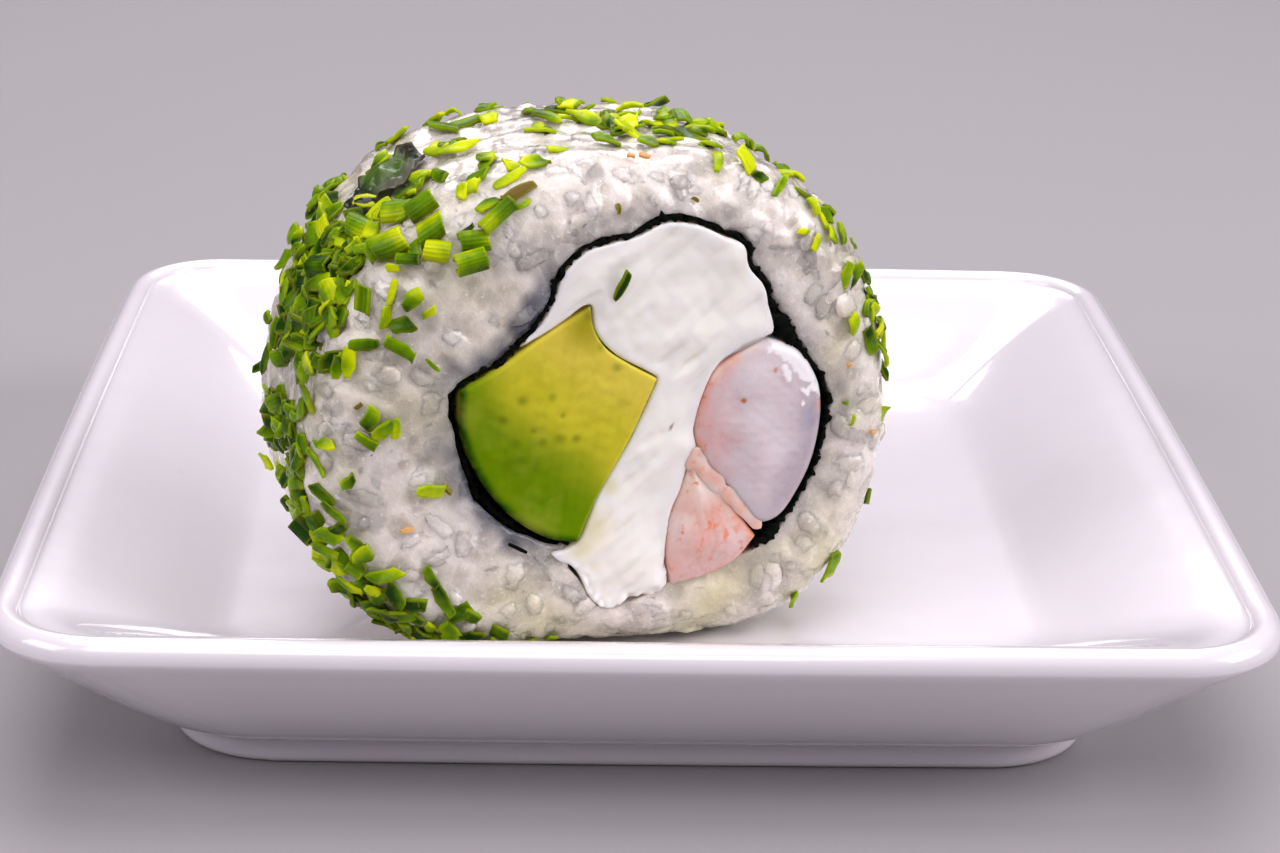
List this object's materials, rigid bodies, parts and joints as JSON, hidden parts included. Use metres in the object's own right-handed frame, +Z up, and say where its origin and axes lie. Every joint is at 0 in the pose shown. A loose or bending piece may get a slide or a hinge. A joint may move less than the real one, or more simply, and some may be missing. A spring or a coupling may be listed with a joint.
{
  "type": "uramaki roll on dish",
  "caption": "Thick slice of inside-out sushi roll with avocado, shrimp, cream cheese and nori inside chive-coated rice, standing on its side on a small square white dish.",
  "frame": {"origin": "centre of the dish, at the height of the foot's underside", "axes": "+Z up; X and Y along the dish's sides; the roll's front cut face looks roughly along -Y"},
  "size_m": [0.1006, 0.1006, 0.0494],
  "materials": {
    "dish": "white porcelain with a clear glossy glaze",
    "rice": "moist, translucent cooked rice with a soft shine",
    "nori": "damp black-green seaweed sheet",
    "cream_cheese": "smooth warm white cream cheese, satin",
    "avocado": "ripe avocado flesh, yellow to green, waxy",
    "shrimp": "moist, translucent cooked shrimp, pink-grey with orange edges",
    "chive": "fresh cut chives, bright to dark green"
  },
  "bodies": {
    "root": {"dish": "dish", "rice": "rice", "nori": "nori", "cream_cheese": "cream_cheese", "avocado": "avocado", "shrimp_large": "shrimp", "shrimp_small": "shrimp"}
  },
  "joints": []
}
